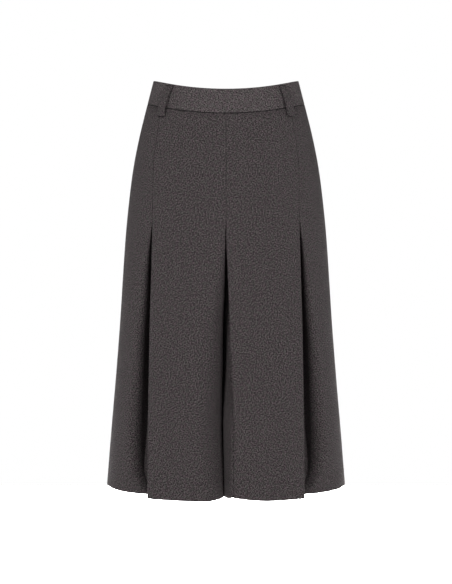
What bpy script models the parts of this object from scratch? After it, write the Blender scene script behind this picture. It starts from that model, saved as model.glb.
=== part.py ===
"""A-line midi skirt in suiting cloth, in the shape it has when worn, open at the waist and the hem.

Metres, +Z up. The origin is the middle of the waist, level with the waistband's top edge at the sides.
The front faces -Y, and +X is on the right of someone who looks at the front.

Every piece is a sheet laid on one outline, the worn form. Points on it are given by a drop below the
origin, a distance along the outline from the centre line, and a distance inwards from the outline.
"""

import functools
import math

import bmesh
import bpy
import numpy as np

# Cloth
CLOTH = 0.0011
BAND_CLOTH = 0.0024
LOOP_CLOTH = 0.0020
SEAM_GAP = 0.0003
FOLD_RADIUS = 0.0014

# Heights, as drops below the origin
HEM = 0.7055
BAND_HEIGHT = 0.0400
FRONT_DIP = 0.0186
BACK_DIP = 0.0090
TOP_LEAN = 0.25

# Pleats: where their stitching ends, and how far the cloth is turned under above and below that
RELEASE = 0.2340
SEAM_ALLOWANCE = 0.0120
PLEAT_ALLOWANCE = 0.0420
ALLOWANCE_RUN = 0.0350
MEET_RUN = 0.0700
UNDERLAY_TOP = 0.2300

# Worn form: half width, depth to the front and to the back, and how square the front outline is
FORM_COLUMNS = ("drop", "half_width", "front", "back", "squareness")
FORM_ROWS = (
    (0.0000, 0.1256, 0.0880, 0.0940, 2.00),
    (0.0420, 0.1367, 0.0940, 0.1010, 2.00),
    (0.1020, 0.1517, 0.1030, 0.1160, 2.00),
    (0.1540, 0.1619, 0.1090, 0.1260, 2.00),
    (0.2070, 0.1690, 0.1140, 0.1310, 2.00),
    (0.2590, 0.1745, 0.1190, 0.1340, 2.02),
    (0.3120, 0.1787, 0.1245, 0.1360, 2.05),
    (0.4170, 0.1859, 0.1340, 0.1400, 2.12),
    (0.5220, 0.1946, 0.1430, 0.1440, 2.20),
    (0.6120, 0.2028, 0.1500, 0.1470, 2.25),
    (0.7055, 0.2108, 0.1550, 0.1500, 2.30),
)
BACK_SQUARENESS = 2.0

# Inverted pleat at the centre front: gap from the centre line to each panel's edge, and how much
# deeper the underlay lies beside the left edge
CENTRE_COLUMNS = ("drop", "left_gap", "right_gap", "hollow")
CENTRE_ROWS = (
    (0.0000, 0.00015, 0.00015, 0.000),
    (0.2410, 0.00015, 0.00015, 0.000),
    (0.3290, 0.00080, 0.00300, 0.008),
    (0.4110, 0.00400, 0.00600, 0.010),
    (0.4940, 0.00540, 0.00940, 0.006),
    (0.5760, 0.00720, 0.01270, 0.003),
    (0.6570, 0.00450, 0.01300, 0.001),
    (0.7055, 0.00300, 0.01260, 0.001),
)
CENTRE_MEET = 0.008

# Rolls that take an edge inwards: depth, width, and how round (1 is a straight slope, 2 a quarter circle)
ROLL_COLUMNS = ("drop", "depth", "width", "roundness")
CENTRE_ROLL_ROWS = {
    "left": (
        (0.0000, 0.000, 0.014, 2.00),
        (0.2410, 0.000, 0.014, 2.00),
        (0.3290, 0.014, 0.019, 2.00),
        (0.3700, 0.021, 0.026, 2.00),
        (0.4110, 0.027, 0.033, 2.00),
        (0.4940, 0.036, 0.039, 2.00),
        (0.5760, 0.040, 0.042, 1.90),
        (0.6570, 0.040, 0.036, 1.60),
        (0.7055, 0.036, 0.026, 1.25),
    ),
    "right": (
        (0.0000, 0.000, 0.050, 1.50),
        (0.2410, 0.000, 0.050, 1.50),
        (0.3290, 0.003, 0.050, 1.50),
        (0.4940, 0.007, 0.055, 1.50),
        (0.6570, 0.011, 0.060, 1.50),
        (0.7055, 0.012, 0.062, 1.50),
    ),
}

# Side pleats: the front panel's edge, how deep the side panel lies behind it, and where the side
# panel's own roll is deepest, outwards from that edge
SIDE_COLUMNS = ("drop", "edge", "recess", "valley")
SIDE_ROWS = (
    (0.0400, 0.1080, 0.000, -0.0004),
    (0.1000, 0.1175, 0.000, -0.0004),
    (0.1500, 0.1232, 0.000, -0.0004),
    (0.2340, 0.1246, 0.000, -0.0005),
    (0.3300, 0.1268, 0.007, 0.0002),
    (0.4110, 0.1292, 0.013, 0.0008),
    (0.4940, 0.1306, 0.019, 0.0015),
    (0.5760, 0.1317, 0.025, 0.0018),
    (0.6570, 0.1326, 0.030, 0.0008),
    (0.7055, 0.1330, 0.032, -0.0030),
)
SIDE_ROLL_ROWS = {
    "left": (
        (0.0400, 0.0032, 0.0055, 2.00),
        (0.2340, 0.0032, 0.0060, 2.00),
        (0.2730, 0.0090, 0.0110, 2.00),
        (0.3170, 0.0160, 0.0170, 2.00),
        (0.3700, 0.0220, 0.0205, 2.00),
        (0.4230, 0.0260, 0.0225, 2.00),
        (0.4760, 0.0290, 0.0260, 2.00),
        (0.5300, 0.0310, 0.0280, 2.00),
        (0.5830, 0.0310, 0.0300, 2.00),
        (0.6360, 0.0270, 0.0310, 2.00),
        (0.6750, 0.0150, 0.0300, 1.80),
        (0.7055, 0.0040, 0.0260, 1.60),
    ),
    "right": (
        (0.0400, 0.0032, 0.0055, 2.00),
        (0.2340, 0.0032, 0.0060, 2.00),
        (0.2730, 0.0090, 0.0110, 2.00),
        (0.3170, 0.0160, 0.0170, 2.00),
        (0.3700, 0.0220, 0.0205, 2.00),
        (0.4230, 0.0260, 0.0230, 2.00),
        (0.4760, 0.0290, 0.0270, 2.00),
        (0.5300, 0.0310, 0.0300, 2.00),
        (0.5830, 0.0310, 0.0320, 2.00),
        (0.6360, 0.0280, 0.0335, 2.00),
        (0.6750, 0.0170, 0.0330, 1.80),
        (0.7055, 0.0060, 0.0300, 1.60),
    ),
}
RECESS_POWER = 1.5
MEET_SHARE = 0.45
LAYER_GAP = 0.0004
UNDERLAY_GAP = 0.0009

# Underlay: where its deepest line lies between the left panel's edge and its own, as a share, how late
# it drops away from the right panel's edge, and its columns. Columns 0 and 3 are its own edges, 1 and 2
# the left and the right panel's edge.
UNDERLAY_LOWEST = 0.25
UNDERLAY_POWER = 1.5
UNDERLAY_PLACES = (0, 0.25, 0.5, 0.65, 0.8, 0.9, 1, 1.33, 1.67, 2, 2.2, 2.4, 2.6, 2.8, 3)

# The hem lifts beside the centre pleat's right edge, and less further out
HEM_LIFT = 0.0040
HEM_LIFT_WIDTH = 0.0620
HEM_LIFT_POWER = 1.5

# Soft flutes of the hanging back
FLUTE_DEPTH = 0.0050
FLUTES = 1.5

# Belt loops: place across at the top and the bottom as shares of the half width, size, reach below the
# waist seam, stand-off, and how full the stand-off is towards the sewn ends (lower is fuller)
LOOP_SHARES = {"front": (0.735, 0.762), "back": (0.620, 0.620)}
LOOP_WIDTH = 0.0150
LOOP_BELOW = 0.0160
LOOP_LIFT = 0.0062
LOOP_FULLNESS = 0.6

# Concealed zip
TAPE_WIDTH = 0.0240
TAPE_THICK = 0.0008
TAPE_BELOW_TOP = 0.0040
TAPE_END = 0.2150
TAPE_INSIDE = 0.0036
SLIDER_DROP = 0.0170
SLIDER_SIZE = (0.0046, 0.0017, 0.0090)
BRIDGE_SIZE = (0.0018, 0.0032, 0.0070)
BRIDGE_SINK = 0.0002
WINDOW_SIZE = (0.0040, 0.0019, 0.0042)
BAR_THICK = 0.0010
PULL_WIDTH = 0.0046
PULL_LENGTH = 0.0230
PULL_HOLE = (0.0024, 0.0034)
PULL_TIP_WIDTH = 0.0062
PULL_CUTTER = 0.0040
LEAN_STEP = 0.0020

# Divisions: samples of a quarter outline, columns and rows of the pieces, and how much closer together
# a front panel's columns are near the centre and a side panel's in its roll
OUTLINE_SAMPLES = 121
SETTLE_ROUNDS = 3
FRONT_COLUMNS = 13
FRONT_SPACING = 1.6
FOLD_STEPS = 3
RETURN_STEPS = 3
BEHIND_COLUMNS = 4
ROLL_STEPS = 8
ROLL_SPACING = 1.6
SIDE_FACE_COLUMNS = 7
BACK_COLUMNS = 10
PANEL_ROWS = 21
BACK_ROWS = 15
UNDERLAY_ROWS = 16
BAND_QUARTER_COLUMNS = 16
BAND_ROWS = 4
LOOP_ROWS = 11
TAPE_ROWS = 9
TIP_STEPS = 8

# Finishes: colour, roughness, metallic
FINISHES = {
    "suiting": ((0.058, 0.050, 0.052), 0.85, 0.0),
    "band_suiting": ((0.078, 0.067, 0.069), 0.85, 0.0),
    "zip_tape": ((0.045, 0.040, 0.041), 0.80, 0.0),
    "zip_metal": ((0.075, 0.070, 0.070), 0.40, 0.6),
}


def chart(columns, rows):
    """A table as one array for each named column."""
    return dict(zip(columns, np.array(rows).T))


FORM = chart(FORM_COLUMNS, FORM_ROWS)
CENTRE = chart(CENTRE_COLUMNS, CENTRE_ROWS)
SIDE = chart(SIDE_COLUMNS, SIDE_ROWS)
CENTRE_ROLLS = {hand: chart(ROLL_COLUMNS, rows) for hand, rows in CENTRE_ROLL_ROWS.items()}
SIDE_ROLLS = {hand: chart(ROLL_COLUMNS, rows) for hand, rows in SIDE_ROLL_ROWS.items()}


def slope_at(steps, rises, i):
    """Slope of the smooth curve through a table at its row i, flat where the rises change sign."""
    slopes = rises / steps
    if i == 0:
        return slopes[0]
    if i == len(slopes):
        return slopes[-1]
    before, after = slopes[i - 1], slopes[i]
    if before * after <= 0:
        return 0.0
    return 2 * before * after / (before + after)


def read(table, column, drop):
    """Value of a table's column at a drop, on a smooth curve that never passes its rows."""
    drops, values = table["drop"], table[column]
    drop = min(max(drop, drops[0]), drops[-1])
    i = min(int(np.searchsorted(drops, drop, side="right")) - 1, len(drops) - 2)
    steps, rises = np.diff(drops), np.diff(values)
    t = (drop - drops[i]) / steps[i]
    start = slope_at(steps, rises, i) * steps[i]
    end = slope_at(steps, rises, i + 1) * steps[i]
    eased = t * t * (3 - 2 * t)
    return float(values[i] + rises[i] * eased + start * t * (1 - t) ** 2 - end * t * t * (1 - t))


def smooth_step(t):
    """0 to 1 with flat ends."""
    t = min(max(t, 0.0), 1.0)
    return t * t * (3 - 2 * t)


@functools.lru_cache(maxsize=None)
def quarter(face, drop):
    """A quarter of the outline from the centre line to the side: across, depth, and length so far."""
    width = read(FORM, "half_width", drop)
    depth = read(FORM, face, drop)
    power = read(FORM, "squareness", drop) if face == "front" else BACK_SQUARENESS
    angles = np.linspace(0, math.pi / 2, OUTLINE_SAMPLES)
    reach = (np.sin(angles) ** power + np.abs(np.cos(angles)) ** power) ** (-1 / power)
    across = width * reach * np.sin(angles)
    deep = depth * reach * np.cos(angles)
    steps = np.hypot(np.diff(across), np.diff(deep))
    return across, deep, np.concatenate([[0.0], np.cumsum(steps)])


@functools.lru_cache(maxsize=None)
def normals(face, drop):
    """Outward direction, across and deep, at each point of a quarter."""
    across, deep, _ = quarter(face, drop)
    out = np.stack([-np.gradient(deep), np.gradient(across)])
    return out / np.hypot(*out)


def side_length(face, drop):
    """Distance along the outline from the centre line to the side."""
    return float(quarter(face, drop)[2][-1])


def length_at(face, drop, across):
    """Distance along the outline from the centre line to a distance across."""
    xs, _, lengths = quarter(face, drop)
    return float(np.interp(across, xs, lengths))


def spot(face, drop, along, inward):
    """Distances across and deep of a point beside the outline. A negative along is on the other side."""
    across, deep, lengths = quarter(face, drop)
    out = normals(face, drop)
    side = math.copysign(1.0, along)
    along = abs(along)
    x = np.interp(along, lengths, across) - inward * np.interp(along, lengths, out[0])
    y = np.interp(along, lengths, deep) - inward * np.interp(along, lengths, out[1])
    return side * float(x), float(y)


def band_top(face, across, drop):
    """Drop of the waistband's top edge above a point of the outline."""
    share = min(abs(across) / read(FORM, "half_width", drop), 1.0)
    dip = FRONT_DIP if face == "front" else BACK_DIP
    return dip * (1 - share**2)


def world(face, across, deep, drop):
    """A point of the front or back outline in the part's frame."""
    return across, -deep if face == "front" else deep, -drop


def hem_drop(face, across):
    """Drop of the hem below a point of the front or the back."""
    near, far = -read(CENTRE, "left_gap", HEM), read(CENTRE, "right_gap", HEM)
    if face == "back" or across <= near:
        return HEM
    if across < far:
        return HEM - HEM_LIFT * smooth_step((across - near) / (far - near))
    return HEM - HEM_LIFT * max(1 - (across - far) / HEM_LIFT_WIDTH, 0.0) ** HEM_LIFT_POWER


def settled(face, side, share, section, index, begin):
    """A panel's point in one column of its section, a share of the way from its top edge to its hem."""
    drop = begin + share * (HEM - begin)
    for _ in range(SETTLE_ROUNDS):
        along, inward = section(drop)[index]
        across, deep = spot(face, drop, along, inward)
        top = begin
        if begin < RELEASE - ALLOWANCE_RUN:
            top += band_top(face, across, drop) + TOP_LEAN * inward
        drop = top + share * (hem_drop(face, side * across) - top)
    drop = round(drop, 6)
    along, inward = section(drop)[index]
    across, deep = spot(face, drop, along, inward)
    return across, deep, drop


def allowance(drop):
    """How far a seam's cloth is turned under: a seam allowance, then a pleat's depth."""
    opened = smooth_step((drop - RELEASE + ALLOWANCE_RUN) / ALLOWANCE_RUN)
    return SEAM_ALLOWANCE + (PLEAT_ALLOWANCE - SEAM_ALLOWANCE) * opened


def turned_under(before, edge, target):
    """Cloth that folds at the edge of a section and runs back under it to a target."""
    before, edge, target = (np.array(point) for point in (before, edge, target))
    heading = (edge - before) / np.linalg.norm(edge - before)
    under = np.array([-heading[1], heading[0]])
    if under[1] < 0:
        under = -under
    middle = edge + under * FOLD_RADIUS
    ahead = float((target - middle) @ heading)
    below = float((target - middle) @ under)
    turn = math.atan2(below, ahead) + math.asin(FOLD_RADIUS / math.hypot(ahead, below))
    points = []
    for k in range(1, FOLD_STEPS + 1):
        angle = turn * k / FOLD_STEPS
        spoke = heading * math.sin(angle) - under * math.cos(angle)
        points.append(middle + spoke * FOLD_RADIUS)
    start = points[-1]
    for k in range(1, RETURN_STEPS + 1):
        points.append(start + (target - start) * k / RETURN_STEPS)
    return [tuple(point) for point in points]


def rolled(roll, drop, reach, width):
    """How far a roll has taken the cloth inwards, at a reach from its deepest line."""
    power = read(roll, "roundness", drop)
    share = min(max(1 - reach / width, 0.0), 1.0)
    return read(roll, "depth", drop) * (1 - (1 - share**power) ** (1 / power))


def side_meet(hand, drop):
    """How deep the two inner layers of a side pleat meet."""
    opened = smooth_step((drop - RELEASE) / MEET_RUN)
    deepest = read(SIDE, "recess", drop) + read(SIDE_ROLLS[hand], "depth", drop)
    return 2 * FOLD_RADIUS + opened * MEET_SHARE * (deepest - 2 * FOLD_RADIUS)


def centre_meet(hand, drop):
    """How deep a front panel's centre return ends."""
    opened = smooth_step((drop - RELEASE) / MEET_RUN)
    return read(CENTRE_ROLLS[hand], "depth", drop) + 2 * FOLD_RADIUS + opened * CENTRE_MEET


def centre_edge(hand, drop):
    """Distance from the centre line to a front panel's edge."""
    return read(CENTRE, hand + "_gap", drop)


def pleat_edge(drop):
    """Distance along the front outline to the front panel's outer edge."""
    return length_at("front", drop, read(SIDE, "edge", drop))


@functools.lru_cache(maxsize=None)
def front_section(hand, drop):
    """A front panel from its centre return round its face to its pleat return."""
    near, far = centre_edge(hand, drop), pleat_edge(drop)
    roll = CENTRE_ROLLS[hand]
    width = read(roll, "width", drop)
    face = []
    for k in range(FRONT_COLUMNS + 1):
        share = (k / FRONT_COLUMNS) ** FRONT_SPACING
        reach = share * (far - near - 2 * FOLD_RADIUS)
        face.append((near + FOLD_RADIUS + reach, rolled(roll, drop, reach, width)))
    centre_target = (near + allowance(drop), centre_meet(hand, drop))
    pleat_target = (far - allowance(drop), side_meet(hand, drop))
    centre = turned_under(face[1], face[0], centre_target)
    pleat = turned_under(face[-2], face[-1], pleat_target)
    return centre[::-1] + face + pleat


@functools.lru_cache(maxsize=None)
def side_section(hand, drop):
    """A side-front panel from behind the front panel, out round its roll, to the side seam."""
    edge = pleat_edge(drop)
    width = read(SIDE_ROLLS[hand], "width", drop)
    recess = read(SIDE, "recess", drop)
    valley = read(SIDE, "valley", drop)
    seam = side_length("front", drop) - SEAM_GAP / 2
    inner = -allowance(drop)
    inner_depth = side_meet(hand, drop) + LAYER_GAP

    def set_back(offset):
        rise = rolled(SIDE_ROLLS[hand], drop, offset - valley, width - valley)
        return rise + recess * max(1 - max(offset, 0.0) / (seam - edge), 0.0) ** RECESS_POWER

    points = []
    for k in range(BEHIND_COLUMNS):
        share = k / BEHIND_COLUMNS
        offset = inner + (valley - inner) * share
        points.append((edge + offset, inner_depth + (set_back(valley) - inner_depth) * share))
    for k in range(ROLL_STEPS):
        offset = valley + (width - valley) * (k / ROLL_STEPS) ** ROLL_SPACING
        points.append((edge + offset, set_back(offset)))
    for k in range(SIDE_FACE_COLUMNS + 1):
        offset = width + (seam - edge - width) * k / SIDE_FACE_COLUMNS
        points.append((edge + offset, set_back(offset)))
    return points


@functools.lru_cache(maxsize=None)
def underlay_section(drop):
    """The strip behind the inverted pleat, just under both returns, deepest beside the left edge."""
    ends = {}
    for hand, side in (("left", -1), ("right", 1)):
        near = centre_edge(hand, drop)
        start = read(CENTRE_ROLLS[hand], "depth", drop) + 2 * FOLD_RADIUS
        ends[hand] = (side * near, start, side * (near + allowance(drop)), centre_meet(hand, drop))
    left_x, left_deep, left_end, left_meet = ends["left"]
    right_x, right_deep, right_end, right_meet = ends["right"]
    hollow = read(CENTRE, "hollow", drop)
    lowest = left_x + UNDERLAY_LOWEST * (left_end - left_x)
    points = []
    xs = (left_end, left_x, right_x, right_end)
    for place in UNDERLAY_PLACES:
        x = float(np.interp(place, range(4), xs))
        base = float(np.interp(place, range(4), (left_meet, left_deep, right_deep, right_meet)))
        if left_x < x < right_x:
            share = (right_x - x) / (right_x - left_x)
            base = right_deep + (left_deep - right_deep) * share**UNDERLAY_POWER
        if x < lowest:
            extra = smooth_step((x - left_end) / (lowest - left_end))
        else:
            extra = smooth_step((right_x - x) / (right_x - lowest))
        points.append((x, base + UNDERLAY_GAP + hollow * extra))
    return points


@functools.lru_cache(maxsize=None)
def back_section(drop):
    """A back panel from its centre-back allowance to the side seam, with the soft flutes of its hang."""
    near = SEAM_GAP / 2
    seam = side_length("back", drop) - SEAM_GAP / 2
    amount = FLUTE_DEPTH * smooth_step((drop - RELEASE) / (HEM - RELEASE))
    face = []
    for k in range(BACK_COLUMNS + 1):
        share = k / BACK_COLUMNS
        along = near + FOLD_RADIUS + share * (seam - near - FOLD_RADIUS)
        inward = amount * math.sin(2 * math.pi * FLUTES * share) * math.sin(math.pi * share)
        face.append((along, inward))
    target = (near + SEAM_ALLOWANCE, 2 * FOLD_RADIUS)
    return turned_under(face[1], face[0], target)[::-1] + face


def material(name):
    """The Principled material of a finish."""
    found = bpy.data.materials.get(name)
    if found:
        return found
    made = bpy.data.materials.new(name)
    made.use_nodes = True
    colour, roughness, metallic = FINISHES[name]
    shader = made.node_tree.nodes["Principled BSDF"]
    shader.inputs["Base Color"].default_value = (*colour, 1.0)
    shader.inputs["Roughness"].default_value = roughness
    shader.inputs["Metallic"].default_value = metallic
    made.diffuse_color = (*colour, 1.0)
    return made


def add_object(name, bm, collection, finish=None):
    """An object made of a bmesh, in a collection."""
    mesh = bpy.data.meshes.new(name)
    bm.to_mesh(mesh)
    bm.free()
    made = bpy.data.objects.new(name, mesh)
    collection.objects.link(made)
    if finish:
        mesh.materials.append(material(finish))
    mesh.shade_smooth()
    return made


def thicken(piece, thickness, offset):
    """A wall on an open surface: offset -1 grows inwards and 1 grows outwards."""
    wall = piece.modifiers.new("wall", "SOLIDIFY")
    wall.thickness = thickness
    wall.offset = offset
    wall.use_even_offset = True


def sheet(name, columns, rows, point, finish, thickness, collection, offset=-1):
    """A grid laid by point(column, row), rows counted down and columns round the skirt to the right."""
    bm = bmesh.new()
    bmesh.ops.create_grid(bm, x_segments=columns - 1, y_segments=rows - 1, size=0.5)
    for vertex in bm.verts:
        column = round((vertex.co.x + 0.5) * (columns - 1))
        row = round((0.5 - vertex.co.y) * (rows - 1))
        vertex.co = point(column, row)
    thicken(add_object(name, bm, collection, finish), thickness, offset)


def panel(name, face, section, hand, rows, collection, begin=BAND_HEIGHT + SEAM_GAP):
    """A cut panel from the waist seam, or from begin, down to the hem."""
    columns = len(section(HEM))
    reverse = (hand == "left") == (face == "front")
    side = {"left": -1, "right": 1, None: 1}[hand]

    def point(column, row):
        index = columns - 1 - column if reverse else column
        across, deep, drop = settled(face, side, row / (rows - 1), section, index, begin)
        return world(face, side * across, deep, drop)

    sheet(name, columns, rows, point, "suiting", CLOTH, collection)


def waistband(collection):
    """One strip all round, its two ends meeting at the centre back."""
    quarters = (("back", -1, False), ("front", -1, True), ("front", 1, False), ("back", 1, True))
    stops = []
    for face, side, inwards in quarters:
        for k in range(BAND_QUARTER_COLUMNS):
            share = k / BAND_QUARTER_COLUMNS
            stops.append((face, side, 1 - share if inwards else share))
    stops.append(("back", 1, 0.0))

    def point(column, row):
        face, side, share = stops[column]
        drop = BAND_HEIGHT * row / (BAND_ROWS - 1)
        for _ in range(SETTLE_ROUNDS):
            along = share * side_length(face, drop)
            if face == "back":
                along = max(along, SEAM_GAP / 2)
            across, deep = spot(face, drop, along, 0.0)
            drop = band_top(face, across, drop) + BAND_HEIGHT * row / (BAND_ROWS - 1)
        return world(face, side * across, deep, drop)

    sheet("waistband", len(stops), BAND_ROWS, point, "band_suiting", BAND_CLOTH, collection)


def belt_loop(name, face, side, collection):
    """A strip laid on the band's own points and moved out, sewn down at its two ends."""
    high, low = LOOP_SHARES[face]
    turn = side if face == "front" else -side

    def point(column, row):
        down = row / (LOOP_ROWS - 1)
        share = high + (low - high) * down
        drop = BAND_HEIGHT
        for _ in range(SETTLE_ROUNDS):
            across_middle = share * read(FORM, "half_width", drop)
            top = band_top(face, across_middle, drop)
            drop = top + down * (BAND_HEIGHT + LOOP_BELOW)
        along = length_at(face, drop, across_middle) + turn * (column - 1) * LOOP_WIDTH / 2
        stand = SEAM_GAP + LOOP_LIFT * math.sin(math.pi * down) ** LOOP_FULLNESS
        across, deep = spot(face, drop, along, -stand)
        return world(face, side * across, deep, drop)

    sheet(name, 3, LOOP_ROWS, point, "suiting", LOOP_CLOTH, collection, offset=1)


def zip_tape(collection):
    """The zip's closed tape, inside the centre-back seam."""
    begin = BACK_DIP + TAPE_BELOW_TOP

    def point(column, row):
        drop = begin + (TAPE_END - begin) * row / (TAPE_ROWS - 1)
        across, deep = spot("back", drop, (1 - column) * TAPE_WIDTH / 2, TAPE_INSIDE)
        return world("back", across, deep, drop)

    sheet("zip_tape", 3, TAPE_ROWS, point, "zip_tape", TAPE_THICK, collection)


def block(name, size, centre, collection, finish=None):
    """A box of a size round a centre."""
    bm = bmesh.new()
    bmesh.ops.create_cube(bm, size=1.0)
    bmesh.ops.scale(bm, vec=size, verts=bm.verts)
    bmesh.ops.translate(bm, vec=centre, verts=bm.verts)
    return add_object(name, bm, collection, finish)


def combine(target, other, operation):
    """A Boolean of one object with a helper."""
    step = target.modifiers.new(other.name, "BOOLEAN")
    step.operation = operation
    step.solver = "EXACT"
    step.object = other
    other.hide_render = True
    other.display_type = "WIRE"


def zip_frame(collection):
    """An empty on the band's outer face at the centre back, leaning as the band does."""
    _, above = spot("back", SLIDER_DROP - LEAN_STEP, 0.0, 0.0)
    _, below = spot("back", SLIDER_DROP + LEAN_STEP, 0.0, 0.0)
    _, here = spot("back", SLIDER_DROP, 0.0, 0.0)
    lean = math.atan2(below - above, 2 * LEAN_STEP)
    frame = bpy.data.objects.new("zip_frame", None)
    frame.location = (0.0, here, -SLIDER_DROP)
    frame.rotation_euler = (lean, 0.0, 0.0)
    collection.objects.link(frame)
    return frame


def zip_slider(frame, collection, helpers):
    """Slider body with the bridge that holds the pull."""
    plate_out = SEAM_GAP + SLIDER_SIZE[1] / 2
    bridge_out = SEAM_GAP + SLIDER_SIZE[1] + BRIDGE_SIZE[1] / 2 - BRIDGE_SINK
    window_out = SEAM_GAP + SLIDER_SIZE[1] + WINDOW_SIZE[1] / 2
    slider = block("zip_slider", SLIDER_SIZE, (0, plate_out, 0), collection, "zip_metal")
    bridge = block("slider_bridge", BRIDGE_SIZE, (0, bridge_out, 0), helpers)
    window = block("slider_window", WINDOW_SIZE, (0, window_out, 0), helpers)
    combine(slider, bridge, "UNION")
    combine(slider, window, "DIFFERENCE")
    for piece in (slider, bridge, window):
        piece.parent = frame
    slider.data.shade_flat()


def zip_pull(frame, collection, helpers):
    """Teardrop pull whose top bar passes under the bridge. Its origin is the bar's axis."""
    bar_out = SEAM_GAP + SLIDER_SIZE[1] + WINDOW_SIZE[1] / 2
    bar_down = WINDOW_SIZE[2] / 2 - BAR_THICK
    bm = bmesh.new()
    half = PULL_WIDTH / 2
    tip = PULL_TIP_WIDTH / 2
    shoulder = BAR_THICK / 2
    outline = [(-half, shoulder), (half, shoulder), (tip, tip - PULL_LENGTH)]
    for k in range(1, TIP_STEPS):
        angle = math.pi * k / TIP_STEPS
        outline.append((tip * math.cos(angle), tip - PULL_LENGTH - tip * math.sin(angle)))
    outline.append((-tip, tip - PULL_LENGTH))
    corners = [bm.verts.new((x, -BAR_THICK / 2, z)) for x, z in outline]
    flat = bm.faces.new(corners)
    raised = bmesh.ops.extrude_face_region(bm, geom=[flat])["geom"]
    moved = [item for item in raised if isinstance(item, bmesh.types.BMVert)]
    bmesh.ops.translate(bm, vec=(0, BAR_THICK, 0), verts=moved)
    bmesh.ops.recalc_face_normals(bm, faces=bm.faces)
    pull = add_object("zip_pull", bm, collection, "zip_metal")
    hole_size = (PULL_HOLE[0], PULL_CUTTER, PULL_HOLE[1])
    hole_down = BAR_THICK / 2 + PULL_HOLE[1] / 2
    hole = block("pull_hole", hole_size, (0, 0, -hole_down), helpers)
    combine(pull, hole, "DIFFERENCE")
    pull.parent = frame
    pull.location = (0, bar_out, -bar_down)
    hole.parent = pull
    pull.data.shade_flat()


def clear_scene():
    """Empties the file of its starting objects."""
    for old in list(bpy.data.objects):
        bpy.data.objects.remove(old)


def new_collection(name):
    """A collection linked to the scene."""
    made = bpy.data.collections.new(name)
    bpy.context.scene.collection.children.link(made)
    return made


def main():
    clear_scene()
    skirt = new_collection("skirt")
    helpers = new_collection("helpers")
    waistband(skirt)
    for hand, side in (("left", -1), ("right", 1)):
        front = functools.partial(front_section, hand)
        side_front = functools.partial(side_section, hand)
        panel("front_panel_" + hand, "front", front, hand, PANEL_ROWS, skirt)
        panel("side_front_" + hand, "front", side_front, hand, PANEL_ROWS, skirt)
        panel("back_panel_" + hand, "back", back_section, hand, BACK_ROWS, skirt)
        belt_loop("belt_loop_front_" + hand, "front", side, skirt)
        belt_loop("belt_loop_back_" + hand, "back", side, skirt)
    panel("pleat_underlay", "front", underlay_section, None, UNDERLAY_ROWS, skirt, UNDERLAY_TOP)
    zip_tape(skirt)
    frame = zip_frame(helpers)
    zip_slider(frame, skirt, helpers)
    zip_pull(frame, skirt, helpers)


main()
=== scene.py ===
# %% [markdown]
# A midi skirt in charcoal marl suiting. The real one is cut from flat cloth: two front panels with
# an inverted pleat between them, two side-front panels, two back panels, a waistband, belt loops
# and a concealed zip. Blender could drape flat pieces by simulation, but a tailored skirt keeps a
# pressed shape, so each piece is laid straight on the worn form that the frame also stands on.

import functools
import math

import bmesh
import bpy
import numpy as np
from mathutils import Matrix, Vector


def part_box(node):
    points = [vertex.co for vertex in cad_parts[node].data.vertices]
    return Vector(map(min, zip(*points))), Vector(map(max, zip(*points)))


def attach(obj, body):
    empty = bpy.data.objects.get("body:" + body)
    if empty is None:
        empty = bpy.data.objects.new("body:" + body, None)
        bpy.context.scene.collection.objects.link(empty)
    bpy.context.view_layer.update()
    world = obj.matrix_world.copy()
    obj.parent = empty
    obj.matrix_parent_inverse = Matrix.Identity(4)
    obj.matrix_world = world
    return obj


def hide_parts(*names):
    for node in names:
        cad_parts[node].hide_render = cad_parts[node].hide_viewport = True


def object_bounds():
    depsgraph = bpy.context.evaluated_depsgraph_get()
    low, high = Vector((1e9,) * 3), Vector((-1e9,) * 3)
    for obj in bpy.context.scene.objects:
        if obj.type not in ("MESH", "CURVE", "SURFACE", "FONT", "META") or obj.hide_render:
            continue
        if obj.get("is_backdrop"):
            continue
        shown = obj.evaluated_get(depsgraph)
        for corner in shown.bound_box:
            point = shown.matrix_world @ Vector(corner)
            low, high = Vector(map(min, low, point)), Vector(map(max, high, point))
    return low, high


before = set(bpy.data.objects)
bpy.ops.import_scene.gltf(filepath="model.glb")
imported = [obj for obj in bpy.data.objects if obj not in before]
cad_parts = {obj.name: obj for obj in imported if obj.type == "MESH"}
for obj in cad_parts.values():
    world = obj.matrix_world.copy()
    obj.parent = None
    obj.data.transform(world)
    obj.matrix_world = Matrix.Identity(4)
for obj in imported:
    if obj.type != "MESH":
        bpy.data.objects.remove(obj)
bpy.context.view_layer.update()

# %% [markdown]
# The driving sizes. Suiting is just under a millimetre thick, and a pressed fold in it is barely
# rounder than that. Heights are drops below the waistband's top edge at the sides.

# %% Sizes, in metres
CLOTH = 0.0009
FOLD_RADIUS = 0.0012
SEAM_GAP = 0.0003
BAND_THICK = 0.0024
BAND_HEIGHT = 0.0400
FRONT_DIP = 0.0186
BACK_DIP = 0.0090
TOP_LEAN = 0.25
HEM = -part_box("front_panel_left")[0].z
HEM_TURN = 0.0280
RELEASE = 0.2340
SEAM_ALLOWANCE = 0.0120
PLEAT_ALLOWANCE = 0.0420
ALLOWANCE_RUN = 0.0350
MEET_RUN = 0.0700
UNDERLAY_TOP = 0.2300
print("hem drop", round(HEM, 4))

# %% [markdown]
# The worn form is one outline at each height, wider and deeper towards the hem. A table with a
# few rows and a smooth curve through them is easier to tune against a photograph than a mesh.

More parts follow.
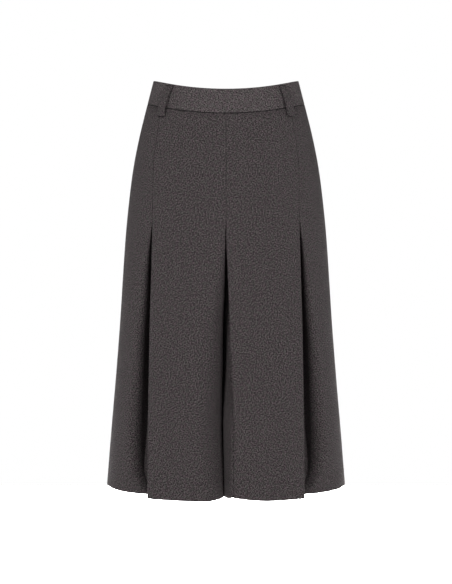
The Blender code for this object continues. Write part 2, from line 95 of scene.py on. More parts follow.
# %% The worn form and the pleats, as tables with named columns
FORM_COLUMNS = ("drop", "half_width", "front", "back", "squareness")
FORM_ROWS = (
    (0.0000, 0.1256, 0.0880, 0.0940, 2.00),
    (0.0420, 0.1367, 0.0940, 0.1010, 2.00),
    (0.1020, 0.1517, 0.1030, 0.1160, 2.00),
    (0.1540, 0.1619, 0.1090, 0.1260, 2.00),
    (0.2070, 0.1690, 0.1140, 0.1310, 2.00),
    (0.2590, 0.1745, 0.1190, 0.1340, 2.02),
    (0.3120, 0.1787, 0.1245, 0.1360, 2.05),
    (0.4170, 0.1859, 0.1340, 0.1400, 2.12),
    (0.5220, 0.1946, 0.1430, 0.1440, 2.20),
    (0.6120, 0.2028, 0.1500, 0.1470, 2.25),
    (0.7055, 0.2108, 0.1550, 0.1500, 2.30),
)
BACK_SQUARENESS = 2.0

CENTRE_COLUMNS = ("drop", "left_gap", "right_gap", "hollow", "rest")
CENTRE_ROWS = (
    (0.0000, 0.00015, 0.00015, 0.000, 0.80),
    (0.2410, 0.00015, 0.00015, 0.000, 0.80),
    (0.3290, 0.00080, 0.00300, 0.030, 0.90),
    (0.4110, 0.00400, 0.00600, 0.038, 0.90),
    (0.4940, 0.00540, 0.00940, 0.030, 0.60),
    (0.5760, 0.00720, 0.01270, 0.011, 0.10),
    (0.6570, 0.00450, 0.01300, 0.006, 0.00),
    (0.7055, 0.00300, 0.01260, 0.001, 0.00),
)
CENTRE_MEET = 0.008

ROLL_COLUMNS = ("drop", "depth", "width", "roundness")
CENTRE_ROLL_ROWS = {
    "left": (
        (0.0000, 0.000, 0.014, 2.00),
        (0.2410, 0.000, 0.014, 2.00),
        (0.3290, 0.016, 0.019, 1.80),
        (0.3700, 0.025, 0.026, 1.70),
        (0.4110, 0.034, 0.034, 1.60),
        (0.4940, 0.045, 0.042, 1.55),
        (0.5760, 0.050, 0.044, 1.50),
        (0.6570, 0.046, 0.038, 1.40),
        (0.7055, 0.036, 0.028, 1.25),
    ),
    "right": (
        (0.0000, 0.000, 0.050, 1.50),
        (0.2410, 0.000, 0.050, 1.50),
        (0.3290, 0.001, 0.050, 1.50),
        (0.4940, 0.003, 0.055, 1.50),
        (0.6570, 0.005, 0.060, 1.50),
        (0.7055, 0.006, 0.062, 1.50),
    ),
}

SIDE_COLUMNS = ("drop", "edge", "recess")
SIDE_ROWS = (
    (0.0400, 0.1080, 0.000),
    (0.1000, 0.1175, 0.000),
    (0.1500, 0.1232, 0.000),
    (0.2340, 0.1246, 0.000),
    (0.3300, 0.1268, 0.007),
    (0.4110, 0.1292, 0.013),
    (0.4940, 0.1306, 0.019),
    (0.5760, 0.1317, 0.025),
    (0.6570, 0.1326, 0.030),
    (0.7055, 0.1330, 0.032),
)

SIDE_ROLL_COLUMNS = ("drop", "slot", "radius", "wall")
SIDE_ROLL_ROWS = {
    "left": (
        (0.0400, -0.0008, 0.0012, 0.0010),
        (0.2340, -0.0008, 0.0012, 0.0010),
        (0.2600, 0.0008, 0.0024, 0.0040),
        (0.2800, 0.0018, 0.0040, 0.0070),
        (0.3220, 0.0032, 0.0070, 0.0120),
        (0.3720, 0.0036, 0.0080, 0.0180),
        (0.4230, 0.0056, 0.0095, 0.0210),
        (0.4730, 0.0072, 0.0108, 0.0230),
        (0.5230, 0.0080, 0.0120, 0.0230),
        (0.5740, 0.0088, 0.0140, 0.0210),
        (0.6240, 0.0094, 0.0150, 0.0150),
        (0.6610, 0.0085, 0.0130, 0.0080),
        (0.6900, 0.0000, 0.0090, 0.0020),
        (0.7055, -0.0080, 0.0060, 0.0010),
    ),
    "right": (
        (0.0400, -0.0008, 0.0012, 0.0010),
        (0.2340, -0.0008, 0.0012, 0.0010),
        (0.2600, 0.0008, 0.0024, 0.0040),
        (0.2800, 0.0018, 0.0040, 0.0070),
        (0.3220, 0.0030, 0.0070, 0.0120),
        (0.3720, 0.0038, 0.0080, 0.0180),
        (0.4230, 0.0058, 0.0098, 0.0210),
        (0.4730, 0.0074, 0.0115, 0.0230),
        (0.5230, 0.0082, 0.0130, 0.0230),
        (0.5740, 0.0090, 0.0150, 0.0210),
        (0.6240, 0.0096, 0.0165, 0.0150),
        (0.6610, 0.0088, 0.0145, 0.0080),
        (0.6900, 0.0000, 0.0100, 0.0020),
        (0.7055, -0.0080, 0.0060, 0.0010),
    ),
}
SLOT_TURN = 0.05
SLOT_LEAN = 1.25
SLOT_ROUNDS = 6
RECESS_POWER = 1.5
MEET_SHARE = 0.50
LAYER_GAP = 0.0004
UNDERLAY_GAP = 0.0009
UNDERLAY_LOWEST = 0.25
UNDERLAY_EDGE = 0.002
UNDERLAY_POWER = 2.2
HEM_LIFT = 0.0052
HEM_LIFT_WIDTH = 0.0620
HEM_LIFT_POWER = 1.5
FLUTE_DEPTH = 0.0050
FLUTES = 1.5


def chart(columns, rows):
    """A table as one array for each named column."""
    return dict(zip(columns, np.array(rows).T))


FORM = chart(FORM_COLUMNS, FORM_ROWS)
CENTRE = chart(CENTRE_COLUMNS, CENTRE_ROWS)
SIDE = chart(SIDE_COLUMNS, SIDE_ROWS)
CENTRE_ROLLS = {hand: chart(ROLL_COLUMNS, rows) for hand, rows in CENTRE_ROLL_ROWS.items()}
SIDE_ROLLS = {hand: chart(SIDE_ROLL_COLUMNS, rows) for hand, rows in SIDE_ROLL_ROWS.items()}


def slope_at(steps, rises, i):
    """Slope of the smooth curve through a table at its row i, flat where the rises change sign."""
    slopes = rises / steps
    if i in (0, len(slopes)):
        return slopes[min(i, len(slopes) - 1)]
    before, after = slopes[i - 1], slopes[i]
    if before * after <= 0:
        return 0.0
    return 2 * before * after / (before + after)


def read(table, column, drop):
    """Value of a table's column at a drop, on a smooth curve that never passes its rows."""
    drops, values = table["drop"], table[column]
    drop = min(max(drop, drops[0]), drops[-1])
    i = min(int(np.searchsorted(drops, drop, side="right")) - 1, len(drops) - 2)
    steps, rises = np.diff(drops), np.diff(values)
    t = (drop - drops[i]) / steps[i]
    start = slope_at(steps, rises, i) * steps[i]
    end = slope_at(steps, rises, i + 1) * steps[i]
    eased = t * t * (3 - 2 * t)
    return float(values[i] + rises[i] * eased + start * t * (1 - t) ** 2 - end * t * t * (1 - t))


def smooth_step(t):
    """0 to 1 with flat ends."""
    t = np.clip(t, 0.0, 1.0)
    return t * t * (3 - 2 * t)


print("half width at the waist and the hem:", FORM["half_width"][0], FORM["half_width"][-1])

# %% [markdown]
# A quarter of the outline is a superellipse: squareness 2 is an ellipse, and a little more gives
# the flatter front of a skirt that hangs from the hips. Points beside it are given by a distance
# along it from the centre line and a distance inwards, which is how cloth is measured too.

# %% Points beside the outline
OUTLINE_SAMPLES = 241


@functools.lru_cache(maxsize=None)
def quarter(face, drop):
    """A quarter outline from the centre line to the side: across, depth, length, outward direction."""
    width = read(FORM, "half_width", drop)
    depth = read(FORM, face, drop)
    power = read(FORM, "squareness", drop) if face == "front" else BACK_SQUARENESS
    angles = np.linspace(0, math.pi / 2, OUTLINE_SAMPLES)
    reach = (np.sin(angles) ** power + np.abs(np.cos(angles)) ** power) ** (-1 / power)
    across = width * reach * np.sin(angles)
    deep = depth * reach * np.cos(angles)
    lengths = np.concatenate([[0.0], np.cumsum(np.hypot(np.diff(across), np.diff(deep)))])
    out = np.stack([-np.gradient(deep), np.gradient(across)])
    return across, deep, lengths, out / np.hypot(*out)


def place(face, drop, along, inward):
    """Across and deep of points beside the outline. A negative along is on the other side."""
    across, deep, lengths, out = quarter(face, drop)
    reach = np.abs(along)
    x = np.interp(reach, lengths, across) - inward * np.interp(reach, lengths, out[0])
    y = np.interp(reach, lengths, deep) - inward * np.interp(reach, lengths, out[1])
    return np.where(np.asarray(along) < 0, -x, x), y


def side_length(face, drop):
    """Distance along the outline from the centre line to the side."""
    return float(quarter(face, drop)[2][-1])


def band_top(face, across, drop):
    """Drop of the waistband's top edge above a point of the outline."""
    share = min(abs(across) / read(FORM, "half_width", drop), 1.0)
    dip = FRONT_DIP if face == "front" else BACK_DIP
    return dip * (1 - share**2)


def hem_drop(face, across):
    """Drop of the hem, which lifts beside the centre pleat's right edge."""
    near, far = -read(CENTRE, "left_gap", HEM), read(CENTRE, "right_gap", HEM)
    if face == "back" or across <= near:
        return HEM
    if across < far:
        return HEM - HEM_LIFT * float(smooth_step((across - near) / (far - near)))
    return HEM - HEM_LIFT * max(1 - (across - far) / HEM_LIFT_WIDTH, 0.0) ** HEM_LIFT_POWER


print("waist round the outline:", round(2 * (side_length("front", 0) + side_length("back", 0)), 3))

# %% [markdown]
# Each panel is a section, a row of points from edge to edge, that changes with height. Where a
# maker turns the edge under, the section folds over a small radius and runs back beneath itself:
# 12 mm for a plain seam, and 42 mm where the seam opens into a pleat.

# %% Sections of the panels
FOLD_STEPS = 6
RETURN_STEPS = 12
CENTRE_ROLL_STEPS = 30
FRONT_FACE_COLUMNS = 44
BEHIND_COLUMNS = 14
WALL_STEPS = 8
ROLL_STEPS = 34
SIDE_FACE_COLUMNS = 34
UNDERLAY_COLUMNS = 61
BACK_COLUMNS = 72


def allowance(drop):
    """How far a seam's cloth is turned under: a seam allowance, then a pleat's depth."""
    opened = smooth_step((drop - RELEASE + ALLOWANCE_RUN) / ALLOWANCE_RUN)
    return SEAM_ALLOWANCE + (PLEAT_ALLOWANCE - SEAM_ALLOWANCE) * opened


def turned_under(before, edge, target):
    """Cloth that folds at the edge of a section and runs back under it to a target."""
    before, edge, target = (np.array(point, float) for point in (before, edge, target))
    heading = (edge - before) / np.linalg.norm(edge - before)
    under = np.array([-heading[1], heading[0]])
    if under[1] < 0:
        under = -under
    middle = edge + under * FOLD_RADIUS
    ahead = float((target - middle) @ heading)
    below = float((target - middle) @ under)
    turn = math.atan2(below, ahead) + math.asin(FOLD_RADIUS / math.hypot(ahead, below))
    angles = turn * np.arange(1, FOLD_STEPS + 1)[:, None] / FOLD_STEPS
    bend = middle + FOLD_RADIUS * (heading * np.sin(angles) - under * np.cos(angles))
    shares = np.arange(1, RETURN_STEPS + 1)[:, None] / RETURN_STEPS
    return np.concatenate([bend, bend[-1] + (target - bend[-1]) * shares])


def opening(drop):
    """How far a pleat has opened, 0 at its stitching and 1 further down."""
    return float(smooth_step((drop - RELEASE) / MEET_RUN))


def rolled(roll, drop, reach, width):
    """How far a roll has taken the cloth inwards, at a reach from its deepest line."""
    power = read(roll, "roundness", drop)
    share = np.clip(1 - reach / width, 0, 1)
    return read(roll, "depth", drop) * (1 - (1 - share**power) ** (1 / power))


def round_the_roll(start, width, steps):
    """Distances that go evenly round a roll, so that its steep side has as many points as its crown."""
    return start + width * (1 - np.cos(np.linspace(0, math.pi / 2, steps, endpoint=False)))


def slot_lean(drop):
    """Turn of a side pleat's slot from the outline's inward direction, so that it runs straight back."""
    _, _, lengths, out = quarter("front", drop)
    edge = pleat_edge(drop)
    tilt = float(np.interp(edge, lengths, out[0]) / np.interp(edge, lengths, out[1]))
    return math.atan(SLOT_LEAN * (tilt + SLOT_TURN))


def side_meet(hand, drop):
    """How deep the two inner layers of a side pleat meet."""
    lean = slot_lean(drop)
    radius, wall = read(SIDE_ROLLS[hand], "radius", drop), read(SIDE_ROLLS[hand], "wall", drop)
    deepest = read(SIDE, "recess", drop) + radius * (1 + math.sin(lean)) + wall * math.cos(lean)
    return 2 * FOLD_RADIUS + opening(drop) * MEET_SHARE * (deepest - 2 * FOLD_RADIUS)


def centre_meet(hand, drop):
    """How deep a front panel's centre return ends."""
    return read(CENTRE_ROLLS[hand], "depth", drop) + 2 * FOLD_RADIUS + opening(drop) * CENTRE_MEET


def centre_edge(hand, drop):
    """Distance from the centre line to a front panel's edge, where the sewn edges touch."""
    return read(CENTRE, hand + "_gap", drop) - SEAM_GAP / 2


def pleat_edge(drop):
    """Distance along the front outline to the front panel's outer edge."""
    across, _, lengths, _ = quarter("front", drop)
    return float(np.interp(read(SIDE, "edge", drop), across, lengths))


def front_section(hand, drop):
    """A front panel from its centre return round its face to its pleat return."""
    near, far = centre_edge(hand, drop), pleat_edge(drop)
    roll = CENTRE_ROLLS[hand]
    width, length = read(roll, "width", drop), far - near - 2 * FOLD_RADIUS
    near_columns = round_the_roll(0.0, width, CENTRE_ROLL_STEPS)
    reach = np.concatenate([near_columns, np.linspace(width, length, FRONT_FACE_COLUMNS)])
    face = np.stack([near + FOLD_RADIUS + reach, rolled(roll, drop, reach, width)], 1)
    centre = turned_under(face[1], face[0], (near + allowance(drop), centre_meet(hand, drop)))
    pleat = turned_under(face[-2], face[-1], (far - allowance(drop), side_meet(hand, drop)))
    return np.concatenate([centre[::-1], face, pleat])


def side_section(hand, drop):
    """A side-front panel from behind the front panel, out of the slot round its roll, to the side seam."""
    edge = pleat_edge(drop)
    edge_x, edge_y = place("front", drop, edge, 0.0)
    seam = side_length("front", drop) - FOLD_RADIUS
    roll = SIDE_ROLLS[hand]
    slot, radius, wall = (read(roll, column, drop) for column in ("slot", "radius", "wall"))
    recess, lean = read(SIDE, "recess", drop), slot_lean(drop)

    def set_back(offset):
        return recess * np.clip(1 - np.clip(offset, 0, None) / (seam - edge), 0, None) ** RECESS_POWER

    crown = 2 * radius
    angles = (math.pi / 2 + lean) * (1 - np.arange(ROLL_STEPS) / ROLL_STEPS)
    for _ in range(SLOT_ROUNDS):
        offsets = crown - radius * np.sin(angles)
        arc = np.stack([offsets, set_back(offsets) + radius * (1 - np.cos(angles))], 1)
        across, deep = place("front", drop, edge + arc[:, 0], arc[:, 1])
        crown += slot - float(np.min(across - edge_x - (edge_y - deep) * SLOT_TURN))
    bottom = arc[0] + wall * np.array([math.sin(lean), math.cos(lean)])
    inner = np.array([-allowance(drop), side_meet(hand, drop) + LAYER_GAP])
    behind = inner + (bottom - inner) * np.linspace(0, 1, BEHIND_COLUMNS, endpoint=False)[:, None]
    back = bottom + (arc[0] - bottom) * np.linspace(0, 1, WALL_STEPS, endpoint=False)[:, None]
    shown = np.linspace(crown, seam - edge, SIDE_FACE_COLUMNS + 1)
    points = np.concatenate([behind, back, arc, np.stack([shown, set_back(shown)], 1)])
    points[:, 0] += edge
    target = (points[-1, 0] - SEAM_ALLOWANCE, 2 * FOLD_RADIUS + LAYER_GAP)
    return np.concatenate([points, turned_under(points[-2], points[-1], target)])


def underlay_section(drop):
    """The strip behind the inverted pleat, just under both returns, deepest beside the left edge."""
    corners = []
    for hand, side in (("left", -1), ("right", 1)):
        near = read(CENTRE, hand + "_gap", drop)
        start = read(CENTRE_ROLLS[hand], "depth", drop) + 2 * FOLD_RADIUS
        corners.append([(side * (near + allowance(drop)), centre_meet(hand, drop)), (side * near, start)])
    stops = np.array([*corners[0], *corners[1][::-1]])
    places = np.linspace(0, 3, UNDERLAY_COLUMNS)
    along = np.interp(places, range(4), stops[:, 0])
    inward = np.interp(places, range(4), stops[:, 1])
    left_end, left_x, right_x, right_end = stops[:, 0]
    share = np.clip((right_x - along) / (right_x - left_x), 0, 1)
    dropping = stops[2, 1] + (stops[1, 1] - stops[2, 1]) * share**UNDERLAY_POWER
    inward = np.where((along > left_x) & (along < right_x), dropping, inward)
    lowest = left_x + UNDERLAY_LOWEST * (left_end - left_x)
    highest = right_x + read(CENTRE, "rest", drop) * (right_end - right_x)
    rising = smooth_step((along - left_end) / (lowest - left_end))
    turning = lowest + min(2 * read(CENTRE, "rest", drop), 1.0) * (right_x - UNDERLAY_EDGE - lowest)
    falling = smooth_step((highest - along) / (highest - turning))
    extra = np.where(along < lowest, rising, falling)
    return np.stack([along, inward + UNDERLAY_GAP + read(CENTRE, "hollow", drop) * extra], 1)


def back_section(drop):
    """A back panel from its centre-back allowance to the side seam, with the soft flutes of its hang."""
    near = FOLD_RADIUS
    seam = side_length("back", drop) - FOLD_RADIUS
    shares = np.linspace(0, 1, BACK_COLUMNS + 1)
    amount = FLUTE_DEPTH * smooth_step((drop - RELEASE) / (HEM - RELEASE))
    inward = amount * np.sin(2 * np.pi * FLUTES * shares) * np.sin(np.pi * shares)
    face = np.stack([near + shares * (seam - near), inward], 1)
    depth = 2 * FOLD_RADIUS + LAYER_GAP
    centre = turned_under(face[1], face[0], (near + SEAM_ALLOWANCE, depth))
    side = turned_under(face[-2], face[-1], (seam - SEAM_ALLOWANCE, depth))
    return np.concatenate([centre[::-1], face, side])


print("columns of a front panel:", len(front_section("left", HEM)))

# %% [markdown]
# A panel hangs from the waist seam, which dips at the front, and its hem is turned up inside. Its
# section is worked out at many heights, each column of cloth is then cut at its own top, and the
# last rows bend round the hem's fold and climb back up the inside. Small reliefs, such as a line
# of hem stitches or a dart, are pushed along the cloth's own outward direction.

# %% Laying a panel
LEVEL_TOP = 0.028
LEVEL_COUNT = 150
LEVELS = np.linspace(LEVEL_TOP, HEM, LEVEL_COUNT)
SETTLE_ROUNDS = 4
UPPER_ROWS = 118
LINE_ROWS = 9
LINE_SPAN = 0.0018
LINE_CLEAR = 0.0020
LOWER_ROWS = 6
PANEL_ROWS = UPPER_ROWS + LINE_ROWS + LOWER_ROWS
HEM_ARC = 5
TURN_ROWS = 8
TOP = BAND_HEIGHT + 0.0015
RETURN_CUT = 0.0035


def facing(grid):
    """Outward direction of a grid of points whose rows go down and columns go round to the right."""
    down, right = np.gradient(grid, axis=0), np.gradient(grid, axis=1)
    out = np.cross(down, right)
    return out / np.linalg.norm(out, axis=2, keepdims=True)


def row_drops(tops, ends):
    """Drops of a panel's rows, close together where the hem is stitched."""
    line = ends - HEM_TURN + np.linspace(-LINE_SPAN, LINE_SPAN, LINE_ROWS)[:, None]
    upper = tops + np.linspace(0, 1, UPPER_ROWS)[:, None] * (line[0] - LINE_CLEAR - tops)
    lower = line[-1] + np.linspace(0, 1, LOWER_ROWS + 1)[1:, None] * (ends - line[-1])
    return np.concatenate([upper, line, lower])


def hang(face, section, side, hem_columns, begin=None, relief=None):
    """Grid of a panel from its top edge down round the hem, and the rows that only the hem has."""
    sections = np.array([section(drop) for drop in LEVELS])
    if (side < 0) == (face == "front"):
        sections = sections[:, ::-1]
        hem_columns = hem_columns[::-1]
    spots = [place(face, drop, row[:, 0], row[:, 1]) for drop, row in zip(LEVELS, sections)]
    across = side * np.array([spot[0] for spot in spots])
    deep = np.array([spot[1] for spot in spots]) * (-1 if face == "front" else 1)
    columns = across.shape[1]
    tops = np.full(columns, begin or TOP)
    for _ in range(SETTLE_ROUNDS if begin is None else 0):
        for j in range(columns):
            x = np.interp(tops[j], LEVELS, across[:, j])
            inward = np.interp(tops[j], LEVELS, sections[:, j, 1])
            cut = RETURN_CUT * min(inward / (2 * FOLD_RADIUS), 1.0)
            tops[j] = band_top(face, x, tops[j]) + TOP + TOP_LEAN * inward + cut
    ends = np.array([hem_drop(face, x) for x in across[-1]]) - np.where(hem_columns, FOLD_RADIUS, 0)

    def at(drops):
        """Points of every column at its own drop."""
        x = [np.interp(drops[j], LEVELS, across[:, j]) for j in range(columns)]
        y = [np.interp(drops[j], LEVELS, deep[:, j]) for j in range(columns)]
        return np.stack([x, y, -drops], 1)

    grid = np.array([at(drops) for drops in row_drops(tops, ends)])
    normal = facing(grid)
    along = np.array([np.interp(-grid[:, j, 2], LEVELS, sections[:, j, 0]) for j in range(columns)]).T
    if relief:
        grid = grid + normal * relief(along, -grid[:, :, 2], ends)[:, :, None]
    last, out = grid[-1], normal[-1]
    low = last - grid[-2]
    low /= np.linalg.norm(low, axis=1, keepdims=True)
    rows = []
    for k in range(1, HEM_ARC + 1):
        angle = math.pi * k / HEM_ARC
        rows.append(last - out * FOLD_RADIUS * (1 - math.cos(angle)) + low * FOLD_RADIUS * math.sin(angle))
    for k in range(1, TURN_ROWS + 1):
        drops = ends - HEM_TURN * k / TURN_ROWS
        rows.append(at(drops) - out * 2 * FOLD_RADIUS)
    return np.concatenate([grid, rows]), hem_columns


def cloth(name, grid, hem_columns, thickness=CLOTH):
    """A sheet on a grid of points, with its flat-cloth distances as a UV map in metres."""
    rows, columns = grid.shape[:2]
    steps_right = np.linalg.norm(np.diff(grid, axis=1), axis=2)
    steps_down = np.linalg.norm(np.diff(grid, axis=0), axis=2)
    present = np.ones((rows, columns), bool)
    present[PANEL_ROWS:, ~hem_columns] = False
    flat_u = np.concatenate([np.zeros((rows, 1)), np.cumsum(steps_right, 1)], 1)
    flat_u -= flat_u[:, columns // 2][:, None]
    flat_v = -np.concatenate([np.zeros((1, columns)), np.cumsum(steps_down, 0)], 0)
    bm = bmesh.new()
    bmesh.ops.create_grid(bm, x_segments=columns - 1, y_segments=rows - 1, size=0.5)
    weave = bm.loops.layers.uv.new("weave")
    spare = []
    for vertex in bm.verts:
        column = round((vertex.co.x + 0.5) * (columns - 1))
        row = round((0.5 - vertex.co.y) * (rows - 1))
        vertex.co = grid[row, column]
        for loop in vertex.link_loops:
            loop[weave].uv = (flat_u[row, column], flat_v[row, column])
        if not present[row, column]:
            spare.append(vertex)
    bmesh.ops.delete(bm, geom=spare, context="VERTS")
    mesh = bpy.data.meshes.new(name)
    bm.to_mesh(mesh)
    bm.free()
    mesh.shade_smooth()
    piece = bpy.data.objects.new(name, mesh)
    bpy.context.scene.collection.objects.link(piece)
    wall = piece.modifiers.new("cloth thickness", "SOLIDIFY")
    wall.thickness = thickness
    wall.offset = -1
    wall.use_even_offset = True
    return piece


# %% [markdown]
# Colours are given as the eye reads them, in sRGB hex, and Blender's shaders want linear light, so
# one function turns them. One more adds a node with its settings and links.

# %% Helpers for the materials
def linear(code):
    """An sRGB hex colour in linear light."""
    shares = [int(code[k : k + 2], 16) / 255 for k in (1, 3, 5)]
    light = [share / 12.92 if share <= 0.04045 else ((share + 0.055) / 1.055) ** 2.4 for share in shares]
    return (*light, 1.0)


def add_node(tree, kind, settings=None, values=None, links=None):
    """A node with its settings, its socket values and its incoming links."""
    made = tree.nodes.new(kind)
    for name, value in (settings or {}).items():
        setattr(made, name, value)
    for socket, value in (values or {}).items():
        made.inputs[socket].default_value = value
    for socket, source in (links or {}).items():
        tree.links.new(source, made.inputs[socket])
    return made


print("linear light of charcoal #443f41:", [round(v, 4) for v in linear("#443f41")[:3]])

# %% [markdown]
# Marl suiting is woven from yarn whose dark and light wool fibres were mixed before spinning, so
# no thread is one colour. Up close it is salt and pepper, and from a step away a soft charcoal.
# Warp flecks run down the cloth and weft flecks across it. The real yarn is 0.4 mm, finer than
# the picture can show, so the flecks are drawn about three times coarser. The spots come from two
# noises, one for each thread direction, and two slower ones vary the tint and the tone a little.

# %% Suiting
FLECK_WIDTH = 0.0011
FLECK_LENGTH = 0.0023
TINT_PATCH = 0.0060
BLOTCH = 0.0110
WEAVE_DEPTH = 0.00022
WEAVE_STRENGTH = 0.6
FLECK_SPREAD = (0.76, 1.24)
TONE_SPREAD = (0.93, 1.07)
WARM_TINT, COOL_TINT = "#ffeef2", "#f6f8ef"
WOOL_ROUGHNESS = 0.9
WOOL_SPECULAR = 0.2
WOOL_SHEEN = 0.12


def suiting(name, dark, middle, light):
    """Woven wool-blend marl, pressed: flecked, dull, with a faint bloom of fibre at its edges."""
    made = bpy.data.materials.new(name)
    made.use_nodes = True
    tree = made.node_tree
    tree.nodes.clear()
    flat = add_node(tree, "ShaderNodeUVMap", {"uv_map": "weave"}).outputs["UV"]

    def pattern(width, length, detail, offset):
        """Noise with spots of a width and a length, in metres."""
        fitted = add_node(
            tree,
            "ShaderNodeMapping",
            values={"Scale": (1 / width, 1 / length, 1), "Location": (offset, offset, 0)},
            links={"Vector": flat},
        )
        return add_node(
            tree,
            "ShaderNodeTexNoise",
            {"noise_dimensions": "2D"},
            {"Scale": 1.0, "Detail": detail, "Roughness": 0.6},
            {"Vector": fitted.outputs[0]},
        ).outputs["Fac"]

    warp = pattern(FLECK_WIDTH, FLECK_LENGTH, 1.0, 0.0)
    weft = pattern(FLECK_LENGTH, FLECK_WIDTH, 1.0, 17.0)
    both = add_node(tree, "ShaderNodeMath", {"operation": "ADD"}, links={0: warp, 1: weft}).outputs[0]
    marl = add_node(
        tree,
        "ShaderNodeMapRange",
        values={"From Min": FLECK_SPREAD[0], "From Max": FLECK_SPREAD[1]},
        links={"Value": both},
    ).outputs["Result"]
    ramp = add_node(tree, "ShaderNodeValToRGB", links={"Fac": marl})
    stops = ramp.color_ramp.elements
    stops[0].position, stops[0].color = 0.0, linear(dark)
    stops[1].position, stops[1].color = 1.0, linear(light)
    centre = stops.new(0.5)
    centre.color = linear(middle)
    patch = pattern(TINT_PATCH, TINT_PATCH, 2.0, 41.0)
    tint = add_node(tree, "ShaderNodeValToRGB", links={"Fac": patch})
    ends = tint.color_ramp.elements
    ends[0].position, ends[0].color = 0.35, linear(WARM_TINT)
    ends[1].position, ends[1].color = 0.65, linear(COOL_TINT)
    toned = add_node(
        tree,
        "ShaderNodeMix",
        {"data_type": "RGBA", "blend_type": "MULTIPLY"},
        {"Factor": 1.0},
        {"A": ramp.outputs["Color"], "B": tint.outputs["Color"]},
    ).outputs["Result"]
    blotch = pattern(BLOTCH, BLOTCH, 2.0, 73.0)
    shade = add_node(
        tree,
        "ShaderNodeMapRange",
        values={"From Min": 0.3, "From Max": 0.7, "To Min": TONE_SPREAD[0], "To Max": TONE_SPREAD[1]},
        links={"Value": blotch},
    ).outputs["Result"]
    colour = add_node(
        tree, "ShaderNodeVectorMath", {"operation": "SCALE"}, links={"Vector": toned, "Scale": shade}
    ).outputs[0]
    raised = add_node(
        tree,
        "ShaderNodeBump",
        values={"Strength": WEAVE_STRENGTH, "Distance": WEAVE_DEPTH},
        links={"Height": marl},
    ).outputs["Normal"]
    shader = add_node(
        tree,
        "ShaderNodeBsdfPrincipled",
        values={
            "Roughness": WOOL_ROUGHNESS,
            "Specular IOR Level": WOOL_SPECULAR,
            "Sheen Weight": WOOL_SHEEN,
            "Sheen Roughness": 0.5,
            "Sheen Tint": linear("#d8d2d2"),
        },
        links={"Base Color": colour, "Normal": raised},
    )
    add_node(tree, "ShaderNodeOutputMaterial", links={"Surface": shader.outputs[0]})
    return made


panel_cloth = suiting("marl suiting, warp upright", "#0f0d0e", "#3e3b3d", "#6d686a")
# The band's cloth is the same suiting in lighter colours: painted light, the light on the band's
# upward-facing surface and on cloth cut across the grain.
band_cloth_painted_lighter = suiting("marl suiting, cut across, painted lighter", "#1b1719", "#494648", "#797476")
print("materials:", panel_cloth.name, "and", band_cloth_painted_lighter.name)


def dress(piece, material, slot, *nodes):
    """Gives a piece its finish, its place on the skirt and the nodes that it stands for."""
    piece.data.materials.append(material)
    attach(piece, "skirt")
    if nodes:
        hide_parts(*nodes)
    return piece


# %% [markdown]
# The panels. The hem is turned up 28 mm inside and caught by hand stitches that only dimple the
# outside. A stitched dart on each back panel takes the cloth in towards the waist.

# %% Panels
HEM_DIMPLE = 0.0006
HEM_DIMPLE_WIDTH = 0.0009
HEM_STITCH = 0.0090
DART_ALONG = 0.0680
DART_END = 0.1650
DART_DEPTH = 0.0007
DART_WIDTH = 0.0012
DART_FADE = 0.02
STITCH_SHARE = 0.25


def hem_line(along, drop, hem):
    """A shallow line at the top of the turned-up hem, a little deeper at each stitch."""
    line = np.exp(-(((drop - hem + HEM_TURN) / HEM_DIMPLE_WIDTH) ** 2))
    return -HEM_DIMPLE * line * (1 - STITCH_SHARE + STITCH_SHARE * np.cos(2 * np.pi * along / HEM_STITCH))


def back_relief(along, drop, hem):
    """The hem's line and the dart's stitched groove."""
    groove = np.exp(-(((along - DART_ALONG) / DART_WIDTH) ** 2))
    fade = smooth_step((DART_END - drop) / DART_FADE)
    return hem_line(along, drop, hem) - DART_DEPTH * groove * fade


def face_columns(total, before, after):
    """Which columns of a panel have the turned-up hem: all but those folded under at its edges."""
    index = np.arange(total)
    return (index >= before) & (index < total - after)


EDGE = FOLD_STEPS + RETURN_STEPS
BULK = 8
panels = {}
laid = []
for hand, side in (("left", -1), ("right", 1)):
    front = functools.partial(front_section, hand)
    hems = face_columns(len(front(HEM)), EDGE + BULK, EDGE + BULK)
    grid, kept = hang("front", front, side, hems, relief=hem_line)
    piece = cloth("front_cloth_" + hand, grid, kept)
    panels["front_" + hand] = dress(piece, panel_cloth, "suiting", "front_panel_" + hand)
    laid.append((grid, kept))

    beside = functools.partial(side_section, hand)
    hems = face_columns(len(beside(HEM)), 0, EDGE + BULK)
    grid, kept = hang("front", beside, side, hems, relief=hem_line)
    piece = cloth("side_cloth_" + hand, grid, kept)
    panels["side_" + hand] = dress(piece, panel_cloth, "suiting", "side_front_" + hand)
    laid.append((grid, kept))

    hems = face_columns(len(back_section(HEM)), EDGE + BULK, EDGE + BULK)
    grid, kept = hang("back", back_section, side, hems, relief=back_relief)
    piece = cloth("back_cloth_" + hand, grid, kept)
    panels["back_" + hand] = dress(piece, panel_cloth, "suiting", "back_panel_" + hand)
    laid.append((grid, kept))

hems = face_columns(UNDERLAY_COLUMNS, 0, 0)
grid, kept = hang("front", underlay_section, 1, hems, begin=UNDERLAY_TOP, relief=hem_line)
underlay = cloth("underlay_cloth", grid, kept)
panels["underlay"] = dress(underlay, panel_cloth, "suiting", "pleat_underlay")
print("panels:", len(panels), "rows and columns of the last:", grid.shape[:2])

# %% [markdown]
# The waistband is one strip folded lengthwise, so its top edge is a soft fold and it is double.

# %% Waistband
BAND_COLUMNS = 44
BAND_FOLD_STEPS = 8
BAND_FACE_ROWS = 14
BAND_TUCK = 0.0005
BAND_LAP = 0.0025
TUCK_STEPS = ((0.35, 0.20), (0.00, 0.75))


